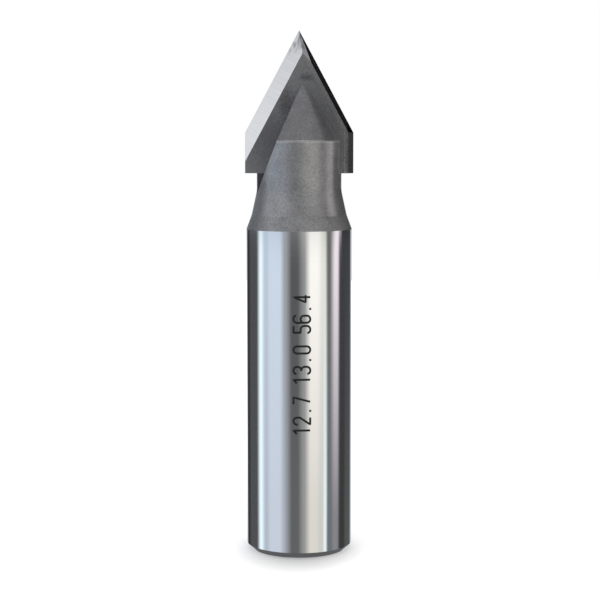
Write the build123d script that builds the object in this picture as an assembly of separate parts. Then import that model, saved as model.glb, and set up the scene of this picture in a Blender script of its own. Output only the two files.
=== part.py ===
from build123d import *
import math
import os

# V groove router bit: a turned steel body with a carbide blade brazed into a slot across its head.
# Millimetres. The bit stands on its shank end at z = 0, its axis is Z and its point is up.
# The blade lies in the XZ plane. Everything on the head is the same after half a turn about Z.

# Shank
shank_diameter = 12.7
shank_length = 39.0
shank_end_chamfer = 0.7

# Neck, from the shank up to the core
flare_length = 1.7
flare_top_diameter = 11.44
neck_taper_length = 2.9
neck_fillet_radius = 4.0

# Core that backs the blade
core_diameter = 10.16
core_length = 5.9
cone_half_angle = 30.0

# Blade outline, with sides that stand just proud of the shank
blade_seat_above_neck = 2.1
blade_thickness = 2.2
blade_side_height = 4.85
blade_side_overhang = 0.15
point_angle = 56.4

# Ground faces of the blade
land_width = 1.7
relief_angle = 34.3
heel_depth = 0.25
heel_width = 0.5
point_facet_reach = 1.14
point_facet_turn = 33.4

# Gullets in the core, in front of each cutting edge
gullet_wall_angle = 22.3
gullet_crossing_above_seat = 9.7

# Film of braze on each side of the blade
braze_film = 0.03

# Heights and radii that follow from the sizes above
shank_radius = shank_diameter / 2
core_radius = core_diameter / 2
cutting_radius = shank_radius + blade_side_overhang
half_thickness = blade_thickness / 2
flare_top = shank_length + flare_length
neck_top = flare_top + neck_taper_length
core_top = neck_top + core_length
cone_apex = core_top + core_radius / math.tan(math.radians(cone_half_angle))
seat_height = neck_top + blade_seat_above_neck
corner_height = seat_height + blade_side_height
half_point = math.radians(point_angle / 2)
point_height = corner_height + cutting_radius / math.tan(half_point)
relief_depth = half_thickness - heel_depth
relief_width = relief_depth * math.tan(math.radians(relief_angle))

# How far a cutting shape runs past the metal that it cuts
overrun = 2 * cutting_radius


def turned_blank():
    """Steel body as it leaves the lathe, one profile turned about Z."""
    corners = [
        (0, 0),
        (shank_radius - shank_end_chamfer, 0),
        (shank_radius, shank_end_chamfer),
        (shank_radius, shank_length),
        (flare_top_diameter / 2, flare_top),
        (core_radius, neck_top),
        (core_radius, core_top),
        (0, cone_apex),
    ]
    profile = make_face(Polyline(*corners, close=True))
    neck_corner = profile.vertices().sort_by_distance((core_radius, neck_top, 0))[0]
    profile = fillet(neck_corner, neck_fillet_radius)
    return revolve(Plane.XZ * profile, Axis.Z)


def blade_slot():
    """Slot sawn across the head, as wide as the blade and its braze, with its floor as the seat."""
    width = blade_thickness + 2 * braze_film
    height = point_height - seat_height
    slot = Box(2 * overrun, width, height, align=(Align.CENTER, Align.CENTER, Align.MIN))
    return Pos(0, 0, seat_height) * slot


def gullet():
    """Chip space in front of the left cutting edge, from the blade's near face outwards."""
    crossing = seat_height + gullet_crossing_above_seat
    slope = math.tan(math.radians(gullet_wall_angle))

    def wall_x(z):
        return (z - crossing) * slope

    corners = [
        (wall_x(flare_top), flare_top),
        (wall_x(point_height), point_height),
        (-overrun, point_height),
        (-overrun, flare_top),
    ]
    side = make_face(Polyline(*corners, close=True))
    near_face = Plane.XZ.offset(half_thickness)
    return extrude(near_face * side, overrun)


def half_turn(shape):
    """The same shape on the other side of the bit."""
    return Rot(0, 0, 180) * shape


def steel_body():
    """Turned blank with the blade slot and both gullets cut in its head."""
    cut = gullet()
    return turned_blank() - blade_slot() - cut - half_turn(cut)


def ground_off(solid, point, along, across):
    """Grind a flat through a point, holding two directions, on both sides of the solid.

    The flat faces away from the middle of the blade.
    """
    facing = Vector(*along).cross(Vector(*across)).normalized()
    middle = Vector(0, 0, seat_height)
    if facing.dot(Vector(*point) - middle) < 0:
        facing = facing * -1
    flat = Plane(origin=point, z_dir=facing)
    waste = flat * Box(4 * overrun, 4 * overrun, overrun, align=(Align.CENTER, Align.CENTER, Align.MIN))
    return solid - waste - half_turn(waste)


def carbide_blade():
    """House-shaped plate whose cutting edges lie in the plane through the axis.

    Each flat is placed for one half of the blade and ground again on the other half.
    """
    corners = [
        (-cutting_radius, seat_height),
        (cutting_radius, seat_height),
        (cutting_radius, corner_height),
        (0, point_height),
        (-cutting_radius, corner_height),
    ]
    outline = make_face(Polyline(*corners, close=True))
    plate = extrude(Plane.XZ * outline, half_thickness, both=True)
    margin = Cylinder(cutting_radius, point_height, align=(Align.CENTER, Align.CENTER, Align.MIN))
    blade = plate & margin

    point = (0, 0, point_height)
    corner = (cutting_radius, 0, corner_height)
    upright = (0, 0, 1)
    left_edge = (-math.sin(half_point), 0, -math.cos(half_point))
    right_edge = (math.sin(half_point), 0, -math.cos(half_point))

    # Land along the left edge, from the edge up to the near face
    land_inwards = (math.cos(half_point) * land_width, -half_thickness, -math.sin(half_point) * land_width)
    blade = ground_off(blade, point, left_edge, land_inwards)

    # Relief behind the right edge and the right side
    relief = (-relief_width, -relief_depth, 0)
    blade = ground_off(blade, point, right_edge, relief)
    blade = ground_off(blade, corner, upright, relief)

    # Heel that breaks the corner between the relief and the near face
    heel = (-heel_width, -heel_depth, 0)
    heel_on_point = (-relief_width, -relief_depth, point_height)
    heel_on_corner = (cutting_radius - relief_width, -relief_depth, corner_height)
    blade = ground_off(blade, heel_on_point, right_edge, heel)
    blade = ground_off(blade, heel_on_corner, upright, heel)

    # Small facet beside the point, where the near face would meet the land and the relief
    turn = math.radians(point_facet_turn)
    base_line = (math.sin(turn), 0, -math.cos(turn))
    to_base = (-math.cos(turn) * point_facet_reach, -half_thickness, -math.sin(turn) * point_facet_reach)
    return ground_off(blade, point, base_line, to_base)


os.makedirs("parts", exist_ok=True)
export_step(steel_body(), "parts/steel_body.step")
export_step(carbide_blade(), "parts/carbide_blade.step")
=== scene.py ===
"""V groove router bit: a ground steel shank with a carbide blade brazed across its dark head.

Sizes are in millimetres, as on a drawing, and become metres where a mesh is built. The bit stands
on its shank end at z = 0 with its axis on Z, and the head is the same after half a turn.
"""

import logging
import math
from dataclasses import dataclass
from enum import Enum

import bmesh
import bpy
from bmesh.types import BMEdge, BMesh
from bpy.types import Material, Mesh, Node, NodeSocket, NodeTree, Object, bpy_prop_collection
from mathutils import Matrix, Vector


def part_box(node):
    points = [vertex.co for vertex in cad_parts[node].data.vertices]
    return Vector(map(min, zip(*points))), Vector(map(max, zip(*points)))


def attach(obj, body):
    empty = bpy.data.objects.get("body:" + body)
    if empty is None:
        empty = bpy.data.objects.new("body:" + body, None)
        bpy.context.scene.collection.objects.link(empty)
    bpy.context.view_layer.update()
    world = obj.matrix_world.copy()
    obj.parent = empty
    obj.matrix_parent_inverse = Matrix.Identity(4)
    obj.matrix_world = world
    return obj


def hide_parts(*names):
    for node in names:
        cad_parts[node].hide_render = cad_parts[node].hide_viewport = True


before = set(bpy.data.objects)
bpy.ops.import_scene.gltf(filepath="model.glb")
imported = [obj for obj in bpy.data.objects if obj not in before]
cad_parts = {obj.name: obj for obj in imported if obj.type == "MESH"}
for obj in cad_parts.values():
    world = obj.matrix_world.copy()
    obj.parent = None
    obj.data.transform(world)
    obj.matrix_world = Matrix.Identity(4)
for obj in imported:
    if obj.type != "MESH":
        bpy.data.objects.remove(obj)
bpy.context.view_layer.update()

log = logging.getLogger("router_bit")

MM = 0.001
BODY = "root"
WHITE = (1.0, 1.0, 1.0, 1.0)
NOISE_LOW, NOISE_HIGH = 0.3, 0.7    # a noise rarely leaves this range
CORNER_POINTS = 6                   # points that draw a rounded corner
SAME_PLACE = 1e-7                   # metres between points that are one


def linear(hex_colour: str) -> tuple[float, float, float, float]:
    """Turn an sRGB hex colour into a linear one.

    Args:
        hex_colour: A colour such as "#D2D4D6".

    Returns:
        Linear red, green, blue and an alpha of 1.
    """
    channels = []
    for place in (1, 3, 5):
        share = int(hex_colour[place:place + 2], 16) / 255
        channels.append(share / 12.92 if share <= 0.04045 else ((share + 0.055) / 1.055) ** 2.4)
    return (channels[0], channels[1], channels[2], 1.0)


def set_inputs(tree: NodeTree, node: Node, inputs: dict) -> None:
    """Give a node's sockets their values and links.

    Args:
        tree: The node's tree.
        node: The node.
        inputs: For a socket's name or index, its own value, or what links to it: a socket, or a
            node by its first output.
    """
    for key, value in inputs.items():
        if isinstance(value, Node):
            value = value.outputs[0]
        if isinstance(value, NodeSocket):
            tree.links.new(value, node.inputs[key])
        else:
            node.inputs[key].default_value = value


def add_node(tree: NodeTree, kind: str, inputs: dict | None = None, **settings: object) -> Node:
    """Add a node with its settings and links.

    Args:
        tree: The tree that takes the node.
        kind: The node's type name.
        inputs: What its sockets get, as in set_inputs.
        settings: The node's properties, set before its sockets.

    Returns:
        The new node.
    """
    node = tree.nodes.new(kind)
    for name, value in settings.items():
        setattr(node, name, value)
    set_inputs(tree, node, inputs or {})
    return node


def new_material(name: str) -> tuple[Material, NodeTree, NodeSocket]:
    """Start a node material.

    Args:
        name: The finish's name.

    Returns:
        The material, its tree, and the place on the surface.
    """
    material = bpy.data.materials.new(name)
    material.use_nodes = True
    tree = material.node_tree
    tree.nodes.clear()
    return material, tree, add_node(tree, "ShaderNodeTexCoord").outputs["Object"]


def drawn_out_noise(tree: NodeTree, coords: NodeSocket | Node, run: tuple[float, float, float],
                    detail: float) -> Node:
    """Lay a noise over a surface, with marks that are drawn out along some of the axes.

    Args:
        tree: The finish's tree.
        coords: The place on the surface.
        run: How far the marks run along X, Y and Z, in millimetres.
        detail: How many finer layers the noise has.

    Returns:
        The noise.
    """
    scale = tuple(1 / (length * MM) for length in run)
    drawn = add_node(tree, "ShaderNodeVectorMath", {0: coords, 1: scale}, operation="MULTIPLY")
    return add_node(tree, "ShaderNodeTexNoise", {"Vector": drawn, "Scale": 1.0, "Detail": detail})


def across_face(tree: NodeTree, axes: bpy_prop_collection) -> Node:
    """Give the distance across the blade from the axis towards the relief, alike on both faces.

    Args:
        tree: The finish's tree.
        axes: The outputs X, Y and Z of the place on the surface.

    Returns:
        The node with the distance, in metres.
    """
    towards_front = add_node(tree, "ShaderNodeMath", {0: axes["Y"], 1: -1.0}, operation="MULTIPLY")
    face = add_node(tree, "ShaderNodeMath", {0: towards_front}, operation="SIGN")
    return add_node(tree, "ShaderNodeMath", {0: axes["X"], 1: face}, operation="MULTIPLY")


def end_metal(tree: NodeTree, pattern: Node, depth: float, shader_inputs: dict) -> None:
    """End a metal's tree with its fine relief, its shader and the output.

    Args:
        tree: The finish's tree.
        pattern: The pattern that the relief follows.
        depth: How deep the relief is, in millimetres.
        shader_inputs: The shader's own values and links.
    """
    bump = add_node(tree, "ShaderNodeBump", {
        "Height": pattern, "Strength": 1.0, "Distance": depth * MM})
    shader = add_node(tree, "ShaderNodeBsdfPrincipled", {**shader_inputs, "Normal": bump})
    add_node(tree, "ShaderNodeOutputMaterial", {"Surface": shader})


def new_object(name: str, mesh: Mesh) -> Object:
    """Put a mesh into the scene as an object at the origin.

    Args:
        name: The object's name.
        mesh: Its mesh, already in place.

    Returns:
        The object.
    """
    item = bpy.data.objects.new(name, mesh)
    bpy.context.scene.collection.objects.link(item)
    return item


def stage_object(name: str, shape: BMesh, material: Material) -> Object:
    """Put a part of the studio into the scene.

    Args:
        name: The object's name.
        shape: Its shape in metres, which is freed.
        material: Its finish.

    Returns:
        The object.
    """
    mesh = bpy.data.meshes.new(name)
    shape.to_mesh(mesh)
    shape.free()
    mesh.materials.append(material)
    return new_object(name, mesh)


def open_tree(name: str, sockets: dict[str, str]) -> tuple[NodeTree, bpy_prop_collection]:
    """Start a Geometry Nodes tree with its named inputs and one output for the geometry.

    Args:
        name: The tree's name.
        sockets: For each input's name, its kind: Float, Int, Material or Geometry.

    Returns:
        The tree, and its inputs by name.
    """
    tree = bpy.data.node_groups.new(name, "GeometryNodeTree")
    for socket, kind in sockets.items():
        tree.interface.new_socket(name=socket, in_out="INPUT", socket_type=f"NodeSocket{kind}")
    tree.interface.new_socket(name="Geometry", in_out="OUTPUT", socket_type="NodeSocketGeometry")
    return tree, add_node(tree, "NodeGroupInput").outputs


def bake_tree(item: Object, tree: NodeTree, values: dict[str, object]) -> None:
    """Run a Geometry Nodes tree on an object and keep the result as its plain mesh.

    Args:
        item: The object whose mesh goes into the tree and is replaced by the result.
        tree: The tree.
        values: A value for each named input.
    """
    modifier = item.modifiers.new(tree.name, "NODES")
    modifier.node_group = tree
    sockets = {entry.name: entry.identifier
               for entry in tree.interface.items_tree if entry.in_out == "INPUT"}
    for name, value in values.items():
        modifier[sockets[name]] = value
    depsgraph = bpy.context.evaluated_depsgraph_get()
    result = bpy.data.meshes.new_from_object(item.evaluated_get(depsgraph))
    item.modifiers.remove(modifier)
    for place in reversed(range(len(result.materials))):
        if result.materials[place] is None:
            result.materials.pop(index=place)
    start = item.data
    item.data = result
    result.name = item.name
    bpy.data.meshes.remove(start)


@dataclass(frozen=True)
class GroundSteel:
    """Tool steel, centreless ground: a near mirror with fine rings that blur it along the axis."""

    colour: str = "#D2D4D6"
    roughness_low: float = 0.07
    roughness_high: float = 0.12
    ring_spacing: float = 0.3       # drawn coarser than the real 0.05 mm, so that it shows
    ring_run: float = 30.0
    ring_depth: float = 0.0006

    def material(self) -> Material:
        """Build the finish.

        Returns:
            The material.
        """
        material, tree, coords = new_material("ground_tool_steel")
        run = (self.ring_run, self.ring_run, self.ring_spacing)
        rings = drawn_out_noise(tree, coords, run, detail=3.0)
        gloss = add_node(tree, "ShaderNodeMapRange", {
            "Value": rings, "To Min": self.roughness_low, "To Max": self.roughness_high})
        end_metal(tree, rings, self.ring_depth, {
            "Base Color": linear(self.colour), "Metallic": 1.0, "Roughness": gloss})
        return material


@dataclass(frozen=True)
class BlastedSteel:
    """Heat-darkened tool steel, bead blasted after brazing, under a film of oil.

    Bare peaks in an oxide skin blur what they mirror, the film adds a faint sharper gloss, and the
    tone is mottled.
    """

    dark: str = "#7A7A7C"
    light: str = "#AAAAAC"
    bare_share: float = 0.45
    film: float = 0.6
    film_roughness: float = 0.12
    roughness_low: float = 0.3
    roughness_high: float = 0.36
    grain: float = 0.2
    mottle: float = 1.6
    mottle_share: float = 0.3
    grain_depth: float = 0.005
    flare_top: float = 40.7         # below it the skin is duller
    flare_roughness: float = 0.1
    core_top: float = 49.5          # above it heat has darkened the skin
    heat_tone: str = "#D8D8DA"
    corner_highlight_reach: float = 0.16        # patchy painted highlight along the corner at the core's top
    corner_highlight_tone: str = "#BEBEBC"
    seat_shade_half_width: float = 1.12  # painted shade on the flats beside the blade, under its seat
    seat_shade_top: float = 45.8
    seat_shade_tone: str = "#7C7C8C"

    def material(self) -> Material:
        """Build the finish.

        Returns:
            The material.
        """
        material, tree, coords = new_material("blasted_tool_steel")
        axes = add_node(tree, "ShaderNodeSeparateXYZ", {"Vector": coords}).outputs
        grain = add_node(tree, "ShaderNodeTexNoise", {
            "Vector": coords, "Scale": 1 / (self.grain * MM), "Detail": 3.0, "Roughness": 0.6})
        mottle = add_node(tree, "ShaderNodeTexNoise", {
            "Vector": coords, "Scale": 1 / (self.mottle * MM), "Detail": 2.0})
        both = add_node(tree, "ShaderNodeMix", {0: self.mottle_share, 2: grain, 3: mottle})
        share = add_node(tree, "ShaderNodeMapRange", {
            "Value": both, "From Min": NOISE_LOW, "From Max": NOISE_HIGH})
        colour = add_node(tree, "ShaderNodeMix", {
            0: share, 6: linear(self.dark), 7: linear(self.light)}, data_type="RGBA").outputs[2]

        # Heat colour on the cone, painted shade on the flats beside the blade under its seat, and a
        # patchy painted highlight along the corner at the core's top
        on_cone = add_node(tree, "ShaderNodeMath", {
            0: axes["Z"], 1: self.core_top * MM}, operation="GREATER_THAN")
        under_seat = add_node(tree, "ShaderNodeMath", {
            0: axes["Z"], 1: self.seat_shade_top * MM}, operation="LESS_THAN")
        aside = add_node(tree, "ShaderNodeMath", {0: axes["Y"]}, operation="ABSOLUTE")
        on_flat = add_node(tree, "ShaderNodeMath", {
            0: aside, 1: self.seat_shade_half_width * MM}, operation="LESS_THAN")
        seat_shaded = add_node(tree, "ShaderNodeMath", {0: under_seat, 1: on_flat}, operation="MULTIPLY")
        from_corner = add_node(tree, "ShaderNodeMath", {
            0: axes["Z"], 1: self.core_top * MM}, operation="SUBTRACT")
        off_corner = add_node(tree, "ShaderNodeMath", {0: from_corner}, operation="ABSOLUTE")
        on_corner = add_node(tree, "ShaderNodeMath", {
            0: off_corner, 1: self.corner_highlight_reach * MM}, operation="LESS_THAN")
        corner_highlight = add_node(tree, "ShaderNodeMath", {0: on_corner, 1: share}, operation="MULTIPLY")
        for where, tone, blend in ((on_cone, self.heat_tone, "MULTIPLY"),
                                   (seat_shaded, self.seat_shade_tone, "MULTIPLY"),
                                   (corner_highlight, self.corner_highlight_tone, "MIX")):
            colour = add_node(tree, "ShaderNodeMix", {0: where, 6: colour, 7: linear(tone)},
                              data_type="RGBA", blend_type=blend).outputs[2]

        # Peaks are smoother than hollows, and the flare is duller than the rest
        gloss = add_node(tree, "ShaderNodeMapRange", {
            "Value": grain, "From Min": NOISE_LOW, "From Max": NOISE_HIGH,
            "To Min": self.roughness_high, "To Max": self.roughness_low})
        on_flare = add_node(tree, "ShaderNodeMath", {
            0: axes["Z"], 1: self.flare_top * MM}, operation="LESS_THAN")
        duller = add_node(tree, "ShaderNodeMath", {
            0: on_flare, 1: self.flare_roughness}, operation="MULTIPLY")
        roughness = add_node(tree, "ShaderNodeMath", {0: gloss, 1: duller}, operation="ADD")
        end_metal(tree, grain, self.grain_depth, {
            "Base Color": colour, "Metallic": self.bare_share, "Roughness": roughness,
            "Coat Weight": self.film, "Coat Roughness": self.film_roughness})
        return material


@dataclass(frozen=True)
class DarkPatch:
    """One darker place on the face of the blade, with a ragged edge.

    Attributes:
        across: Its middle, in millimetres from the axis towards the relief.
        height: The height of its middle, in millimetres.
        half_width: Half its width, in millimetres.
        half_height: Half its height, in millimetres.
        tone: What the carbide's colour is multiplied by.
    """

    across: float
    height: float
    half_width: float
    half_height: float
    tone: str


@dataclass(frozen=True)
class SinteredCarbide:
    """Tungsten carbide from the sintering furnace: a dark, even grey, with painted shade beside the
    cone and along the side.
    """

    dark: str = "#828384"
    light: str = "#9A9B9E"
    roughness: float = 0.5
    grain: float = 0.15             # drawn coarser than the real grain, so that it shows
    grain_depth: float = 0.004
    dark_patch_full: float = 0.7         # a darker patch fades between these shares of its size
    dark_patch_end: float = 1.5
    dark_patches: tuple[DarkPatch, ...] = (
        DarkPatch(0.9, 57.05, 1.15, 0.6, "#CCCCCE"),    # darker just above the steel's tip
        DarkPatch(-1.5, 54.2, 1.3, 2.4, "#CAC6CA"),     # painted shade on both sides of the cone
        DarkPatch(-3.6, 50.5, 4.0, 5.0, "#DEDCE0"),
        DarkPatch(3.4, 51.5, 5.2, 10.0, "#D2D2D4"),
        DarkPatch(6.2, 47.5, 0.9, 6.0, "#929090"),      # painted shade along the side
    )

    def material(self) -> Material:
        """Build the finish.

        Returns:
            The material.
        """
        material, tree, coords = new_material("sintered_carbide")
        axes = add_node(tree, "ShaderNodeSeparateXYZ", {"Vector": coords}).outputs
        grain = add_node(tree, "ShaderNodeTexNoise", {
            "Vector": coords, "Scale": 1 / (self.grain * MM), "Detail": 2.0})
        colour = add_node(tree, "ShaderNodeMix", {
            0: grain, 6: linear(self.dark), 7: linear(self.light)}, data_type="RGBA").outputs[2]

        # The patches, mostly painted shade, lie alike on both faces, which are half a turn apart
        across = across_face(tree, axes)
        flat = add_node(tree, "ShaderNodeCombineXYZ", {"X": across, "Z": axes["Z"]})
        for dark_patch in self.dark_patches:
            middle = (dark_patch.across * MM, 0.0, dark_patch.height * MM)
            reach = (1 / (dark_patch.half_width * MM), 0.0, 1 / (dark_patch.half_height * MM))
            from_dark_patch = add_node(tree, "ShaderNodeVectorMath", {0: flat, 1: middle},
                                  operation="SUBTRACT")
            by_reach = add_node(tree, "ShaderNodeVectorMath", {0: from_dark_patch, 1: reach},
                                operation="MULTIPLY")
            away = add_node(tree, "ShaderNodeVectorMath", {0: by_reach}, operation="LENGTH")
            ragged = add_node(tree, "ShaderNodeMath", {0: away.outputs["Value"], 1: grain},
                              operation="ADD")
            share = add_node(tree, "ShaderNodeMapRange", {
                "Value": ragged, "From Min": self.dark_patch_full, "From Max": self.dark_patch_end,
                "To Min": 1.0, "To Max": 0.0})
            colour = add_node(tree, "ShaderNodeMix", {0: share, 6: colour, 7: linear(dark_patch.tone)},
                              data_type="RGBA", blend_type="MULTIPLY").outputs[2]
        end_metal(tree, grain, self.grain_depth, {
            "Base Color": colour, "Metallic": 1.0, "Roughness": self.roughness})
        return material


@dataclass(frozen=True)
class GroundCarbide:
    """Tungsten carbide ground with a diamond wheel: bright, with fine lines across the edge."""

    dark: str = "#C2C3C5"
    light: str = "#DADBDD"
    roughness_low: float = 0.1
    roughness_high: float = 0.17
    line_spacing: float = 0.2       # drawn coarser than the wheel's real grit, so that it shows
    line_run: float = 6.0
    line_depth: float = 0.0006
    streak_start: float = 59.6      # grey streaks that the wheel's last passes leave by the point
    streak_end: float = 61.2
    streak_width: float = 0.4
    streak_run: float = 2.5
    streak_low: float = 0.45        # the part of the noise that makes the streaks
    streak_high: float = 0.62
    streak_tone: str = "#8E8F92"
    shaded_side_from: float = 5.8          # painted shade on the side, from this far from the axis
    side_shade_tone: str = "#8A8886"

    def material(self, half_point: float) -> Material:
        """Build the finish.

        Args:
            half_point: Half of the blade's point angle in radians, which turns the lines.

        Returns:
            The material.
        """
        material, tree, coords = new_material("ground_carbide")
        axes = add_node(tree, "ShaderNodeSeparateXYZ", {"Vector": coords}).outputs
        folded = add_node(tree, "ShaderNodeVectorMath", {0: coords}, operation="ABSOLUTE")
        turned = add_node(tree, "ShaderNodeMapping", {
            "Vector": folded, "Rotation": (0, half_point, 0)})
        run = (self.line_run, self.line_run, self.line_spacing)
        lines = drawn_out_noise(tree, turned, run, detail=3.0)
        colour = add_node(tree, "ShaderNodeMix", {
            0: lines, 6: linear(self.dark), 7: linear(self.light)}, data_type="RGBA").outputs[2]

        # Streaks by the point, and painted shade on the sides
        run = (self.streak_width, self.streak_width, self.streak_run)
        streaks = add_node(tree, "ShaderNodeMapRange", {
            "Value": drawn_out_noise(tree, coords, run, detail=1.0),
            "From Min": self.streak_low, "From Max": self.streak_high})
        by_point = add_node(tree, "ShaderNodeMapRange", {
            "Value": axes["Z"],
            "From Min": self.streak_start * MM, "From Max": self.streak_end * MM})
        share = add_node(tree, "ShaderNodeMath", {0: streaks, 1: by_point}, operation="MULTIPLY")
        on_shaded_side = add_node(tree, "ShaderNodeMath", {
            0: across_face(tree, axes), 1: self.shaded_side_from * MM}, operation="GREATER_THAN")
        for where, tone, blend in ((share, self.streak_tone, "MIX"),
                                   (on_shaded_side, self.side_shade_tone, "MULTIPLY")):
            colour = add_node(tree, "ShaderNodeMix", {0: where, 6: colour, 7: linear(tone)},
                              data_type="RGBA", blend_type=blend).outputs[2]
        gloss = add_node(tree, "ShaderNodeMapRange", {
            "Value": lines, "To Min": self.roughness_low, "To Max": self.roughness_high})
        end_metal(tree, lines, self.line_depth, {
            "Base Color": colour, "Metallic": 1.0, "Roughness": gloss})
        return material


@dataclass(frozen=True)
class LaserBlack:
    """Steel blackened by a marking laser: a matt, almost black oxide of slightly uneven depth."""

    dark: str = "#0C0C0D"
    light: str = "#26262A"
    roughness: float = 0.6
    patch: float = 0.25

    def material(self) -> Material:
        """Build the finish.

        Returns:
            The material.
        """
        material, tree, coords = new_material("laser_blackened_steel")
        patches = add_node(tree, "ShaderNodeTexNoise", {
            "Vector": coords, "Scale": 1 / (self.patch * MM)})
        colour = add_node(tree, "ShaderNodeMix", {
            0: patches, 6: linear(self.dark), 7: linear(self.light)}, data_type="RGBA")
        shader = add_node(tree, "ShaderNodeBsdfPrincipled", {
            "Base Color": colour.outputs[2], "Metallic": 0.0, "Roughness": self.roughness})
        add_node(tree, "ShaderNodeOutputMaterial", {"Surface": shader})
        return material


class Surface(Enum):
    """How a face of the blade is finished, as its place in the blade's list of materials."""

    SINTERED = 0
    GROUND = 1


@dataclass(frozen=True)
class Grind:
    """One flat of the blade, through a point and holding two directions.

    Attributes:
        point: A point of the flat, in millimetres.
        along: One direction in the flat.
        across: Another direction in the flat.
        surface: How the flat is finished.
    """

    point: Vector
    along: Vector
    across: Vector
    surface: Surface

    def facing(self, middle: Vector) -> Vector:
        """Give the flat's normal, away from the middle of the blade.

        Args:
            middle: A point inside or under the blade.

        Returns:
            A unit vector.
        """
        normal = self.along.cross(self.across).normalized()
        return normal if normal.dot(self.point - middle) > 0 else -normal


@dataclass
class CarbideBlade:
    """The house-shaped blade, with its cutting edges in the plane through the axis."""

    side_height: float = 4.85
    land_width: float = 1.7
    relief_angle: float = 34.3
    heel_depth: float = 0.25
    heel_width: float = 0.5
    facet_reach: float = 1.14
    facet_turn: float = 33.4
    margin_steps: int = 16
    blank_above_point: float = 1.0
    sharp_angle: float = 8.0        # degrees between faces that meet in an edge
    on_flat: float = 1e-6           # millimetres off a flat that still count as on it
    same_point: float = 1e-5        # millimetres between points that are one

    def __post_init__(self) -> None:
        """Take the outer sizes from the frame."""
        low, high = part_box("carbide_blade")
        self.cutting_radius = high.x / MM
        self.half_thickness = high.y / MM
        self.seat_height = low.z / MM
        self.point_height = high.z / MM
        self.corner_height = self.seat_height + self.side_height
        self.half_point = math.atan2(self.cutting_radius, self.point_height - self.corner_height)

    def blank(self) -> BMesh:
        """Make the plate with its two round sides, a little higher than the point.

        Returns:
            A closed mesh in millimetres.
        """
        radius = self.cutting_radius
        half_side = math.asin(self.half_thickness / radius)
        section = []
        for middle in (0.0, math.pi):
            for step in range(self.margin_steps + 1):
                angle = middle + half_side * (2 * step / self.margin_steps - 1)
                section.append((radius * math.cos(angle), radius * math.sin(angle)))
        plate = bmesh.new()
        bottom = [plate.verts.new((x, y, self.seat_height)) for x, y in section]
        blank_top = self.point_height + self.blank_above_point
        top = [plate.verts.new((x, y, blank_top)) for x, y in section]
        plate.faces.new(list(reversed(bottom)))
        plate.faces.new(top)
        faces_front_or_back = (self.margin_steps, len(section) - 1)
        for here in range(len(section)):
            there = (here + 1) % len(section)
            side = plate.faces.new((bottom[here], bottom[there], top[there], top[here]))
            surface = Surface.SINTERED if here in faces_front_or_back else Surface.GROUND
            side.material_index = surface.value
        return plate

    def grinds(self) -> list[Grind]:
        """List the flats of one half of the blade.

        Returns:
            The flats in the order of grinding; each is ground again after half a turn.
        """
        sine, cosine = math.sin(self.half_point), math.cos(self.half_point)
        point = Vector((0, 0, self.point_height))
        corner = Vector((self.cutting_radius, 0, self.corner_height))
        upright = Vector((0, 0, 1))
        left_edge = Vector((-sine, 0, -cosine))
        right_edge = Vector((sine, 0, -cosine))
        land = Vector((cosine * self.land_width, -self.half_thickness, -sine * self.land_width))
        relief_depth = self.half_thickness - self.heel_depth
        relief_width = relief_depth * math.tan(math.radians(self.relief_angle))
        relief = Vector((-relief_width, -relief_depth, 0))
        heel = Vector((-self.heel_width, -self.heel_depth, 0))
        turn = math.radians(self.facet_turn)
        facet_base = Vector((math.sin(turn), 0, -math.cos(turn)))
        facet = Vector((-math.cos(turn) * self.facet_reach, -self.half_thickness,
                        -math.sin(turn) * self.facet_reach))
        return [
            Grind(point, left_edge, land, Surface.GROUND),
            Grind(point, right_edge, relief, Surface.GROUND),
            Grind(corner, upright, relief, Surface.GROUND),
            Grind(point + relief, right_edge, heel, Surface.SINTERED),
            Grind(corner + relief, upright, heel, Surface.SINTERED),
            Grind(point, facet_base, facet, Surface.GROUND),
        ]

    def grind_flat(self, plate: BMesh, point: Vector, facing: Vector, surface: Surface) -> None:
        """Cut away what lies beyond a flat and close the cut.

        Args:
            plate: The convex solid, in millimetres.
            point: A point of the flat.
            facing: The flat's outward normal.
            surface: The finish that the new face gets.
        """
        everything = [*plate.verts, *plate.edges, *plate.faces]
        cut = bmesh.ops.bisect_plane(plate, geom=everything, dist=self.on_flat, plane_co=point,
                                     plane_no=facing, clear_outer=True)
        rim = [part for part in cut["geom_cut"] if isinstance(part, BMEdge)]
        made = bmesh.ops.contextual_create(plate, geom=rim)
        for face in made["faces"]:
            face.material_index = surface.value

    def build(self, sintered: SinteredCarbide, ground: GroundCarbide) -> Object:
        """Grind the blade from its blank and dress it.

        Args:
            sintered: The finish of the faces left as they were sintered.
            ground: The finish of the ground faces.

        Returns:
            The blade.
        """
        plate = self.blank()
        middle = Vector((0, 0, self.seat_height))
        half_turn = Matrix.Rotation(math.pi, 3, "Z")
        for grind in self.grinds():
            facing = grind.facing(middle)
            self.grind_flat(plate, grind.point, facing, grind.surface)
            self.grind_flat(plate, half_turn @ grind.point, half_turn @ facing, grind.surface)
        bmesh.ops.remove_doubles(plate, verts=plate.verts, dist=self.same_point)
        bmesh.ops.scale(plate, vec=(MM, MM, MM), verts=plate.verts)
        bmesh.ops.recalc_face_normals(plate, faces=plate.faces)
        mesh = bpy.data.meshes.new("carbide_blade_ground")
        plate.to_mesh(mesh)
        plate.free()
        mesh.materials.append(sintered.material())
        mesh.materials.append(ground.material(self.half_point))
        mesh.shade_smooth()
        mesh.set_sharp_from_angle(angle=math.radians(self.sharp_angle))
        blade = new_object("carbide_blade_ground", mesh)
        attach(blade, BODY)
        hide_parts("carbide_blade")
        return blade


@dataclass(frozen=True)
class Stretch:
    """One stretch of the turned profile, from the end of the last one to its own end.

    Attributes:
        name: What the stretch is called.
        length: Its length along the axis, in millimetres.
        end_radius: The radius at its end, in millimetres.
        rounding: The radius that breaks or blends the corner at its end, in millimetres.
    """

    name: str
    length: float
    end_radius: float
    rounding: float


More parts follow.
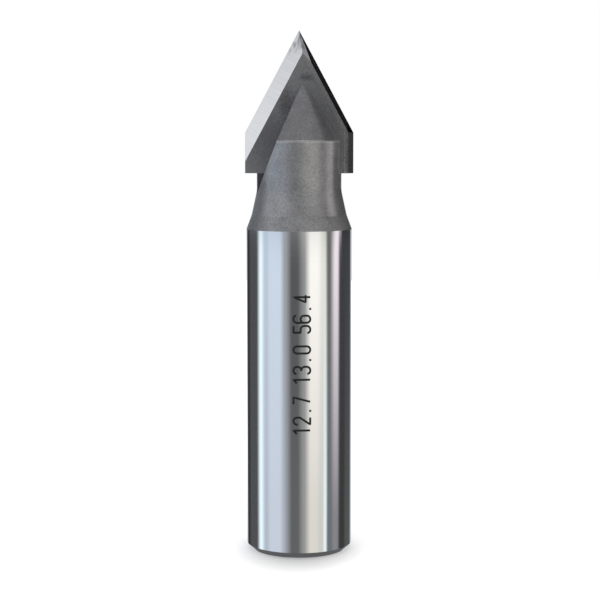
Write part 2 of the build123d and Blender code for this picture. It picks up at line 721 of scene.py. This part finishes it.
@dataclass
class SteelBody:
    """The turned body: shank, flare, neck, core and cone, with the blade slot and two gullets."""

    shank_length: float = 39.0
    end_chamfer: float = 0.7
    flare_length: float = 1.7
    flare_top_radius: float = 5.72
    neck_length: float = 2.9
    neck_rounding: float = 4.0
    core_radius: float = 5.08
    core_length: float = 5.9
    cone_half_angle: float = 30.0
    edge_break: float = 0.06
    worn_rounding: float = 0.12     # at the core's top
    braze_film: float = 0.03
    gullet_wall_angle: float = 22.3
    gullet_crossing_above_seat: float = 9.7
    cutter_size: float = 6.0        # of the blocks that cut the slot and gullets, in blade radii
    segments: int = 256
    sharp_angle: float = 28.0       # degrees between faces that meet in an edge

    def stretches(self) -> list[Stretch]:
        """List the turned profile.

        Returns:
            Its stretches, from the shank end up to the cone's apex.
        """
        shank_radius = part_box("steel_body")[1].x / MM
        cone_height = self.core_radius / math.tan(math.radians(self.cone_half_angle))
        shank_side = self.shank_length - self.end_chamfer
        return [
            Stretch("End face", 0.0, shank_radius - self.end_chamfer, self.edge_break),
            Stretch("End chamfer", self.end_chamfer, shank_radius, self.edge_break),
            Stretch("Shank", shank_side, shank_radius, self.edge_break),
            Stretch("Flare", self.flare_length, self.flare_top_radius, self.edge_break),
            Stretch("Neck", self.neck_length, self.core_radius, self.neck_rounding),
            Stretch("Core", self.core_length, self.core_radius, self.worn_rounding),
            Stretch("Cone", cone_height, 0.0, 0.0),
        ]

    def tree(self, stretches: list[Stretch]) -> NodeTree:
        """Build the tree that turns the profile and cuts the slot and the gullets.

        Args:
            stretches: The stretches that the profile has, for their names.

        Returns:
            A tree with a named input for each size and finish.
        """
        names = [stretch.name for stretch in stretches]
        sizes = [f"{name} {size}" for name in names for size in ("length", "radius", "rounding")]
        sizes += ["Shank top", "Slot width", "Seat height", "Gullet angle", "Gullet crossing",
                  "Gullet face", "Reach"]
        tree, given = open_tree("turned_steel_body", {
            **dict.fromkeys(sizes, "Float"), "Segments": "Int",
            "Head finish": "Material", "Shank finish": "Material"})

        # Corners of the profile, each a stretch further from the shank end. They are placed from
        # the rail that they are swept along, and the sweep draws height downwards
        rail_radius = given["Shank radius"]
        height = 0.0
        on_axis = add_node(tree, "ShaderNodeMath", {0: 0.0, 1: rail_radius}, operation="SUBTRACT")
        corners = {"0": add_node(tree, "ShaderNodeCombineXYZ", {"X": on_axis})}
        roundings = {}
        for place, name in enumerate(names, start=1):
            height = add_node(tree, "ShaderNodeMath", {0: height, 1: given[f"{name} length"]},
                              operation="ADD")
            inwards = add_node(tree, "ShaderNodeMath", {0: given[f"{name} radius"], 1: rail_radius},
                               operation="SUBTRACT")
            down = add_node(tree, "ShaderNodeMath", {0: height, 1: -1.0}, operation="MULTIPLY")
            corners[str(place)] = add_node(tree, "ShaderNodeCombineXYZ", {"X": inwards, "Y": down})
            roundings[str(place)] = given[f"{name} rounding"]
        index = add_node(tree, "GeometryNodeInputIndex")
        chosen = {}
        for kind, choices in (("VECTOR", corners), ("FLOAT", roundings)):
            chosen[kind] = add_node(tree, "GeometryNodeIndexSwitch", data_type=kind)
            while len(chosen[kind].index_switch_items) < len(corners):
                chosen[kind].index_switch_items.new()
            set_inputs(tree, chosen[kind], {"Index": index, **choices})

        # The profile as a curve with its corners rounded, turned once around the axis
        line = add_node(tree, "GeometryNodeMeshLine", {"Count": len(corners)})
        placed = add_node(tree, "GeometryNodeSetPosition", {
            "Geometry": line, "Position": chosen["VECTOR"]})
        profile = add_node(tree, "GeometryNodeMeshToCurve", {"Mesh": placed})
        rounded = add_node(tree, "GeometryNodeFilletCurve", {
            "Curve": profile, "Radius": chosen["FLOAT"], "Count": CORNER_POINTS,
            "Limit Radius": True}, mode="POLY")
        rail = add_node(tree, "GeometryNodeCurvePrimitiveCircle", {
            "Resolution": given["Segments"], "Radius": rail_radius})
        turned = add_node(tree, "GeometryNodeCurveToMesh", {
            "Curve": rail, "Profile Curve": rounded})
        closed = add_node(tree, "GeometryNodeMergeByDistance", {
            "Geometry": turned, "Distance": SAME_PLACE})
        blank = add_node(tree, "GeometryNodeFlipFaces", {"Mesh": closed})

        # The blade slot, and a gullet on each side of it
        reach = given["Reach"]
        half_reach = add_node(tree, "ShaderNodeMath", {0: reach, 1: 0.5}, operation="MULTIPLY")
        slot_middle = add_node(tree, "ShaderNodeMath", {0: given["Seat height"], 1: half_reach},
                               operation="ADD")
        slot_size = add_node(tree, "ShaderNodeCombineXYZ", {
            "X": reach, "Y": given["Slot width"], "Z": reach})
        slot = add_node(tree, "GeometryNodeTransform", {
            "Geometry": add_node(tree, "GeometryNodeMeshCube", {"Size": slot_size}),
            "Translation": add_node(tree, "ShaderNodeCombineXYZ", {"Z": slot_middle})})
        back = add_node(tree, "ShaderNodeMath", {0: half_reach, 1: -1.0}, operation="MULTIPLY")
        waste_size = add_node(tree, "ShaderNodeCombineXYZ", {"X": reach, "Y": reach, "Z": reach})
        at_wall = add_node(tree, "GeometryNodeTransform", {
            "Geometry": add_node(tree, "GeometryNodeMeshCube", {"Size": waste_size}),
            "Translation": add_node(tree, "ShaderNodeCombineXYZ", {"X": back, "Y": back})})
        wall_turn = add_node(tree, "ShaderNodeCombineXYZ", {"Y": given["Gullet angle"]})
        wall_place = add_node(tree, "ShaderNodeCombineXYZ", {
            "Y": given["Gullet face"], "Z": given["Gullet crossing"]})
        gullet = add_node(tree, "GeometryNodeTransform", {
            "Geometry": at_wall, "Translation": wall_place, "Rotation": wall_turn})
        twin = add_node(tree, "GeometryNodeTransform", {
            "Geometry": gullet, "Rotation": (0.0, 0.0, math.pi)})
        cut = add_node(tree, "GeometryNodeMeshBoolean", {"Mesh 1": blank},
                       operation="DIFFERENCE", solver="EXACT")
        for cutter in (slot, gullet, twin):
            set_inputs(tree, cut, {"Mesh 2": cutter})

        # The shank keeps its ground finish up to the flare
        real = add_node(tree, "GeometryNodeRealizeInstances", {"Geometry": cut})
        dressed = add_node(tree, "GeometryNodeSetMaterial", {
            "Geometry": real, "Material": given["Head finish"]})
        split = add_node(tree, "ShaderNodeSeparateXYZ", {
            "Vector": add_node(tree, "GeometryNodeInputPosition")})
        is_shank = add_node(tree, "FunctionNodeCompare", {
            0: split.outputs["Z"], 1: given["Shank top"]}, data_type="FLOAT", operation="LESS_THAN")
        finished = add_node(tree, "GeometryNodeSetMaterial", {
            "Geometry": dressed, "Selection": is_shank, "Material": given["Shank finish"]})
        add_node(tree, "NodeGroupOutput", {"Geometry": finished})
        return tree

    def build(self, blade: CarbideBlade, head: BlastedSteel, shank: GroundSteel) -> Object:
        """Turn the body, cut it for the blade and dress it.

        Args:
            blade: The blade that the slot and the gullets are cut for.
            head: The finish from the flare up.
            shank: The finish of the shank.

        Returns:
            The body.
        """
        stretches = self.stretches()
        values: dict[str, object] = {
            "Shank top": self.shank_length * MM,
            "Slot width": 2 * (blade.half_thickness + self.braze_film) * MM,
            "Seat height": blade.seat_height * MM,
            "Gullet angle": math.radians(self.gullet_wall_angle),
            "Gullet crossing": (blade.seat_height + self.gullet_crossing_above_seat) * MM,
            "Gullet face": -blade.half_thickness * MM,
            "Reach": self.cutter_size * blade.cutting_radius * MM,
            "Segments": self.segments,
            "Head finish": head.material(),
            "Shank finish": shank.material(),
        }
        for stretch in stretches:
            values[f"{stretch.name} length"] = stretch.length * MM
            values[f"{stretch.name} radius"] = stretch.end_radius * MM
            values[f"{stretch.name} rounding"] = stretch.rounding * MM
        body = new_object("steel_body_turned", bpy.data.meshes.new("steel_body_turned"))
        bake_tree(body, self.tree(stretches), values)
        body.data.shade_smooth()
        body.data.set_sharp_from_angle(angle=math.radians(self.sharp_angle))
        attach(body, BODY)
        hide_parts("steel_body")
        return body


# Strokes of the engraving face: x and y as shares of a digit's width and height, and how round
# the corner is
DIGIT_STROKES = {
    "0": (((0, 0, 1), (1, 0, 1), (1, 1, 1), (0, 1, 1), (0, 0, 1)),),
    "1": (((0.1, 0.8, 0), (0.6, 1, 0), (0.6, 0, 0)),),
    "2": (((0, 0.74, 0), (0, 1, 1), (1, 1, 1), (1, 0.62, 0.7), (0, 0, 0), (1, 0, 0)),),
    "3": (((0, 0.82, 0), (0, 1, 1), (1, 1, 1), (1, 0.54, 1), (0.4, 0.54, 0)),
          ((0.4, 0.54, 0), (1, 0.54, 1), (1, 0, 1), (0, 0, 1), (0, 0.18, 0))),
    "4": (((0.72, 0, 0), (0.72, 1, 0), (0, 0.28, 0), (1, 0.28, 0)),),
    "5": (((0.95, 1, 0), (0.05, 1, 0), (0.05, 0.58, 0), (1, 0.58, 1), (1, 0, 1), (0, 0, 1),
           (0, 0.18, 0)),),
    "6": (((0, 0.3, 0), (0, 1, 1), (1, 1, 1), (1, 0.84, 0)),
          ((0, 0, 1), (1, 0, 1), (1, 0.58, 1), (0, 0.58, 1), (0, 0, 1))),
    "7": (((0, 1, 0), (1, 1, 0), (0.35, 0, 0)),),
    ".": (((0.35, 0, 0), (0.65, 0, 0)),),
}


@dataclass
class SizeMarking:
    """The bit's own sizes in plain numbers, marked on the front of the shank and read upwards."""

    numbers: str = "12.7 13.0 56.4"
    pitch: float = 1.21
    digit_width: float = 0.84
    digit_height: float = 1.98
    stroke: float = 0.25
    thickness: float = 0.03
    proud: float = 0.006
    cuts: int = 6
    azimuth: float = 5.9
    start_height: float = 15.0

    def flat_strokes(self) -> Mesh:
        """Draw the numbers flat, as separate lines of edges around the middle of their height.

        Returns:
            A mesh in metres, whose points carry the radius that rounds them.
        """
        points, edges, radii = [], [], []
        for place, sign in enumerate(self.numbers):
            for stroke in DIGIT_STROKES.get(sign, ()):
                first = len(points)
                closed = stroke[0] == stroke[-1]
                drawn = stroke[:-1] if closed else stroke
                for x, y, roundness in drawn:
                    points.append(((place * self.pitch + x * self.digit_width) * MM,
                                   (y - 0.5) * self.digit_height * MM, 0))
                    radii.append(roundness * self.digit_width / 2 * MM)
                edges += [(first + step, first + step + 1) for step in range(len(drawn) - 1)]
                if closed:
                    edges.append((len(points) - 1, first))
        mesh = bpy.data.meshes.new("size_marking")
        mesh.from_pydata(points, edges, [])
        mesh.attributes.new("rounding", "FLOAT", "POINT").data.foreach_set("value", radii)
        return mesh

    def tree(self) -> NodeTree:
        """Build the tree that thickens the strokes and wraps them round the shank.

        Returns:
            A tree with a named input for each size and the finish.
        """
        tree, given = open_tree("wrapped_marking", {
            "Geometry": "Geometry", "Stroke": "Float", "Thickness": "Float",
            "Middle radius": "Float", "Azimuth": "Float", "Start height": "Float",
            "Finish": "Material"})

        # Strokes with their corners rounded, cut short enough to bend, and given a flat section
        lines = add_node(tree, "GeometryNodeMeshToCurve", {"Mesh": given["Geometry"]})
        radius = add_node(tree, "GeometryNodeInputNamedAttribute", {"Name": "rounding"},
                          data_type="FLOAT")
        rounded = add_node(tree, "GeometryNodeFilletCurve", {
            "Curve": lines, "Radius": radius, "Count": CORNER_POINTS, "Limit Radius": True},
            mode="POLY")
        cut = add_node(tree, "GeometryNodeSubdivideCurve", {"Curve": rounded, "Cuts": self.cuts})
        level = add_node(tree, "GeometryNodeSetCurveNormal", {"Curve": cut}, mode="Z_UP")
        section = add_node(tree, "GeometryNodeCurvePrimitiveQuadrilateral", {
            "Width": given["Stroke"], "Height": given["Thickness"]})
        ribbon = add_node(tree, "GeometryNodeCurveToMesh", {
            "Curve": level, "Profile Curve": section, "Fill Caps": True})
        clean = add_node(tree, "GeometryNodeMergeByDistance", {
            "Geometry": ribbon, "Distance": SAME_PLACE}, mode="CONNECTED")

        # Up the page becomes round the shank to the left, along the page becomes up the shank
        flat = add_node(tree, "ShaderNodeSeparateXYZ", {
            "Vector": add_node(tree, "GeometryNodeInputPosition")}).outputs
        arc = add_node(tree, "ShaderNodeMath", {0: flat["Y"], 1: given["Middle radius"]},
                       operation="DIVIDE")
        turn = add_node(tree, "ShaderNodeMath", {0: given["Azimuth"], 1: arc},
                        operation="SUBTRACT")
        out = add_node(tree, "ShaderNodeMath", {0: given["Middle radius"], 1: flat["Z"]},
                       operation="ADD")
        towards_front = add_node(tree, "ShaderNodeMath", {0: out, 1: -1.0}, operation="MULTIPLY")
        height = add_node(tree, "ShaderNodeMath", {0: given["Start height"], 1: flat["X"]},
                          operation="ADD")
        upright = add_node(tree, "ShaderNodeCombineXYZ", {
            "X": 0.0, "Y": towards_front, "Z": height})
        wrapped = add_node(tree, "ShaderNodeVectorRotate", {"Vector": upright, "Angle": turn},
                           rotation_type="Z_AXIS")
        placed = add_node(tree, "GeometryNodeSetPosition", {
            "Geometry": clean, "Position": wrapped})
        real = add_node(tree, "GeometryNodeRealizeInstances", {"Geometry": placed})
        dressed = add_node(tree, "GeometryNodeSetMaterial", {
            "Geometry": real, "Material": given["Finish"]})
        add_node(tree, "NodeGroupOutput", {"Geometry": dressed})
        return tree

    def build(self, finish: LaserBlack) -> Object:
        """Mark the shank.

        Args:
            finish: The finish of the marks.

        Returns:
            The marking.
        """
        shank_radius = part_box("steel_body")[1].x / MM
        marking = new_object("size_marking", self.flat_strokes())
        bake_tree(marking, self.tree(), {
            "Stroke": self.stroke * MM,
            "Thickness": self.thickness * MM,
            "Middle radius": (shank_radius + self.proud - self.thickness / 2) * MM,
            "Azimuth": math.radians(self.azimuth),
            "Start height": self.start_height * MM,
            "Finish": finish.material(),
        })
        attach(marking, BODY)
        return marking


@dataclass(frozen=True)
class Panel:
    """One panel of the studio tent, seen from the bit.

    Attributes:
        start: Where it starts, in degrees from the front towards the right.
        end: Where it ends; between two panels the light fades from one to the next.
        tone: The tone that polished steel shows where it mirrors the panel.
    """

    start: float
    end: float
    tone: str


@dataclass(frozen=True)
class Tier:
    """The panels at one height of the tent; between two tiers the light fades as well.

    Attributes:
        height: The tier's height from the floor, in millimetres.
        panels: Its panels, in order from the back, round by the left, to the back again.
    """

    height: float
    panels: tuple[Panel, ...]


@dataclass
class StudioTent:
    """A closed tent of cloth panels and dark flags around the bit; the camera looks through it."""

    radius: float = 390.0
    low: float = -240.0
    high: float = 560.0
    under_low: float = -200.0
    under_high: float = -150.0
    ceiling_low: float = 430.0
    ceiling_high: float = 520.0
    level: float = 1.55             # steel shows a panel's tone where it mirrors 1 / 1.55 of it
    under: str = "#585858"
    ceiling: str = "#B0B0B0"
    segments: int = 96
    tiers: tuple[Tier, ...] = (
        Tier(-99, (
            Panel(-180, -160, "#B4B8BC"), Panel(-152, -138, "#343434"),
            Panel(-130, -102, "#4E4E50"), Panel(-92, -88, "#ECFBFF"),
            Panel(-78, -71, "#B2B9C5"), Panel(-64, -40, "#C6CCD8"),
            Panel(-14, 1, "#606060"), Panel(12, 15, "#949490"),
            Panel(27, 40, "#DAD4CB"), Panel(50, 57, "#CBCAC2"),
            Panel(60, 64, "#E8F2F4"), Panel(68, 77, "#6A6E72"),
            Panel(85, 96, "#848286"), Panel(104, 118, "#383838"),
            Panel(128, 152, "#505050"), Panel(164, 180, "#B4B8BC"),
        )),
        Tier(17, (
            Panel(-180, -160, "#B4B8BC"), Panel(-152, -138, "#303030"),
            Panel(-130, -101, "#4A4A4C"), Panel(-91, -87, "#EEFCFF"),
            Panel(-78, -71, "#BCC7D4"), Panel(-64, -38, "#CCD7E4"),
            Panel(-29, -25, "#9A9C9E"), Panel(-14, 0, "#525252"),
            Panel(12, 15, "#8A8A8A"), Panel(27, 44, "#FFFAF3"),
            Panel(54, 61, "#E6E3DA"), Panel(67, 74, "#666763"),
            Panel(86, 95, "#EEE2E8"), Panel(102, 150, "#3D3D3E"),
            Panel(158, 180, "#B4B8BC"),
        )),
        Tier(45, (
            Panel(-180, -168, "#8A8A8A"), Panel(-155, -108, "#6A6E76"),
            Panel(-86, -46, "#AAB6C6"), Panel(-14, -3, "#848484"),
            Panel(24, 48, "#D0CCC5"), Panel(66, 82, "#666664"),
            Panel(95, 106, "#FFF8FB"), Panel(109, 155, "#0C0C0C"),
            Panel(168, 180, "#8A8A8A"),
        )),
        Tier(180, (
            Panel(-180, -160, "#A0A0A0"), Panel(-150, -112, "#404246"),
            Panel(-84, -42, "#CCCFD4"), Panel(-12, 8, "#8C8C8C"),
            Panel(25, 54, "#BEBCB8"), Panel(66, 76, "#7C7C7A"),
            Panel(86, 96, "#FAF4F6"), Panel(104, 152, "#101010"),
            Panel(162, 180, "#A0A0A0"),
        )),
        Tier(225, (
            Panel(-180, -160, "#A0A0A0"), Panel(-150, -108, "#404042"),
            Panel(-77, -30, "#E0E1E3"), Panel(-12, 8, "#9C9C9C"),
            Panel(25, 52, "#B8B6B2"), Panel(60, 70, "#6A6866"),
            Panel(80, 152, "#181818"), Panel(162, 180, "#A0A0A0"),
        )),
        Tier(360, (
            Panel(-180, -160, "#A8A8A8"), Panel(-150, -105, "#3C3C3E"),
            Panel(-74, -30, "#8A8C90"), Panel(-12, 8, "#B4B4B4"),
            Panel(25, 50, "#B2B0AC"), Panel(62, 87, "#969698"),
            Panel(95, 152, "#1A1A1A"), Panel(162, 180, "#A8A8A8"),
        )),
    )

    def material(self) -> Material:
        """Build the tent's light, which changes around it and from tier to tier.

        Returns:
            The material.
        """
        material, tree, coords = new_material("studio_tent_cloth")
        place = add_node(tree, "ShaderNodeSeparateXYZ", {"Vector": coords}).outputs
        towards_front = add_node(tree, "ShaderNodeMath", {0: place["Y"], 1: -1.0},
                                 operation="MULTIPLY")
        azimuth = add_node(tree, "ShaderNodeMath", {0: place["X"], 1: towards_front},
                           operation="ARCTAN2")
        turn = add_node(tree, "ShaderNodeMapRange", {
            "Value": azimuth, "From Min": -math.pi, "From Max": math.pi})

        # One ring of light for each tier, from the lowest up; each starts and ends at the back
        rings = []
        for tier in self.tiers:
            ring = add_node(tree, "ShaderNodeValToRGB", {"Fac": turn})
            stops = [(edge, panel.tone) for panel in tier.panels
                     for edge in (panel.start, panel.end)]
            while len(ring.color_ramp.elements) < len(stops):
                ring.color_ramp.elements.new(1.0)
            for element, (edge, tone) in zip(ring.color_ramp.elements, stops):
                element.position = edge / 360 + 0.5
                element.color = linear(tone)
            rings.append(ring.outputs[0])

        # Upwards, the light fades to the first ring, from ring to ring, and to the ceiling's tone
        fades = [(self.under_low, self.under_high, rings[0])]
        fades += [(below.height, above.height, ring)
                  for below, above, ring in zip(self.tiers, self.tiers[1:], rings[1:])]
        fades.append((self.ceiling_low, self.ceiling_high, linear(self.ceiling)))
        light = linear(self.under)
        for low, high, above in fades:
            rise = add_node(tree, "ShaderNodeMapRange", {
                "Value": place["Z"], "From Min": low * MM, "From Max": high * MM})
            light = add_node(tree, "ShaderNodeMix", {0: rise, 6: light, 7: above},
                             data_type="RGBA").outputs[2]
        glow = add_node(tree, "ShaderNodeEmission", {"Color": light, "Strength": self.level})
        add_node(tree, "ShaderNodeOutputMaterial", {"Surface": glow})
        material.cycles.emission_sampling = "NONE"
        return material

    def build(self) -> Object:
        """Make the tent, which rays from the camera pass through.

        Returns:
            The tent.
        """
        drum = bmesh.new()
        bmesh.ops.create_cone(drum, cap_ends=True, segments=self.segments,
                              radius1=self.radius * MM, radius2=self.radius * MM,
                              depth=(self.high - self.low) * MM)
        bmesh.ops.translate(drum, vec=(0, 0, (self.high + self.low) / 2 * MM), verts=drum.verts)
        tent = stage_object("studio_tent", drum, self.material())
        tent.visible_camera = False
        return tent


@dataclass
class Floor:
    """The white sheet that the bit stands on, which keeps the bit's shadow."""

    radius: float = 380.0
    colour: str = "#EBEBEB"
    near_glow: float = 0.13
    far_glow: float = 0.62
    shade_start: float = 3.8
    shade_end: float = 9.8
    white_from: float = 60.0
    shade_forward: float = 1.6      # the shade lies this far in front of the bit's middle
    shade_squeeze: tuple[float, float] = (1.24, 0.86)   # narrower across, longer to the front
    segments: int = 128

    def material(self) -> Material:
        """Build white card with a painted shadow, which the camera sees darker near the bit and a
        little brighter away from it.

        Returns:
            The material.
        """
        material, tree, coords = new_material("matt_white_card")
        moved = add_node(tree, "ShaderNodeVectorMath", {
            0: coords, 1: (0.0, self.shade_forward * MM, 0.0)}, operation="ADD")
        squeezed = add_node(tree, "ShaderNodeVectorMath", {
            0: moved, 1: (*self.shade_squeeze, 1.0)}, operation="MULTIPLY")
        away = add_node(tree, "ShaderNodeVectorMath", {0: squeezed},
                        operation="LENGTH").outputs["Value"]
        glow = add_node(tree, "ShaderNodeMapRange", {
            "Value": away, "From Min": self.shade_start * MM, "From Max": self.shade_end * MM,
            "To Min": self.near_glow, "To Max": self.far_glow})
        edge_glow = add_node(tree, "ShaderNodeMapRange", {
            "Value": away, "From Min": self.shade_end * MM, "From Max": self.white_from * MM})
        full = add_node(tree, "ShaderNodeMath", {0: glow, 1: edge_glow}, operation="ADD")
        rays = add_node(tree, "ShaderNodeLightPath").outputs
        mirrored = add_node(tree, "ShaderNodeMath", {
            0: rays["Is Glossy Ray"], 1: rays["Is Transmission Ray"]}, operation="ADD")
        seen = add_node(tree, "ShaderNodeMath", {
            0: rays["Is Camera Ray"], 1: mirrored}, operation="ADD")
        strength = add_node(tree, "ShaderNodeMath", {0: seen, 1: full}, operation="MULTIPLY")
        light = add_node(tree, "ShaderNodeEmission", {"Color": WHITE, "Strength": strength})
        card = add_node(tree, "ShaderNodeBsdfDiffuse", {"Color": linear(self.colour)})
        both = add_node(tree, "ShaderNodeAddShader", {0: card, 1: light})
        add_node(tree, "ShaderNodeOutputMaterial", {"Surface": both})
        return material

    def build(self) -> Object:
        """Lay the sheet at z = 0.

        Returns:
            The floor.
        """
        disc = bmesh.new()
        bmesh.ops.create_circle(disc, cap_ends=True, segments=self.segments,
                                radius=self.radius * MM)
        floor = stage_object("floor", disc, self.material())
        floor.visible_glossy = False
        return floor


@dataclass
class PhotoCamera:
    """The camera, a little above the bit's middle and a few degrees to the right of its face."""

    distance: float = 200.0
    azimuth: float = 3.0
    height: float = 50.0
    aim_height: float = 30.38
    aim_right: float = 0.1
    lens: float = 99.6
    sensor: float = 36.0
    clip_start: float = 1.0
    clip_end: float = 10_000.0

    def build(self) -> Object:
        """Make the camera and set it as the scene's own.

        Returns:
            The camera.
        """
        turn = math.radians(self.azimuth)
        right = Vector((math.cos(turn), math.sin(turn), 0))
        place = Vector((math.sin(turn) * self.distance, -math.cos(turn) * self.distance,
                        self.height))
        aim = right * self.aim_right + Vector((0, 0, self.aim_height))
        data = bpy.data.cameras.new("photo_camera")
        data.lens = self.lens
        data.sensor_width = self.sensor
        data.clip_start = self.clip_start * MM
        data.clip_end = self.clip_end * MM
        camera = bpy.data.objects.new("photo_camera", data)
        camera.location = place * MM
        camera.rotation_euler = (aim - place).to_track_quat("-Z", "Y").to_euler()
        bpy.context.scene.collection.objects.link(camera)
        bpy.context.scene.camera = camera
        return camera


def light_world() -> None:
    """Make the world plain white behind everything."""
    world = bpy.data.worlds.new("white_backdrop")
    world.use_nodes = True
    world.node_tree.nodes.clear()
    white = add_node(world.node_tree, "ShaderNodeBackground", {"Color": WHITE, "Strength": 1.0})
    add_node(world.node_tree, "ShaderNodeOutputWorld", {"Surface": white})
    world.cycles.sampling_method = "NONE"
    bpy.context.scene.world = world
    bpy.context.scene.view_settings.view_transform = "Standard"


def report(piece: Object) -> None:
    """Log a finished piece's name and its count of faces.

    Args:
        piece: The piece.
    """
    log.info("%s: %d faces", piece.name, len(piece.data.polygons))


def main() -> None:
    """Build the bit, its stage and the camera."""
    logging.basicConfig(level=logging.INFO, format="%(name)s %(message)s")
    blade = CarbideBlade()
    report(blade.build(SinteredCarbide(), GroundCarbide()))
    report(SteelBody().build(blade, BlastedSteel(), GroundSteel()))
    report(SizeMarking().build(LaserBlack()))
    report(StudioTent().build())
    report(Floor().build())
    PhotoCamera().build()
    light_world()


if __name__ == "__main__":
    main()
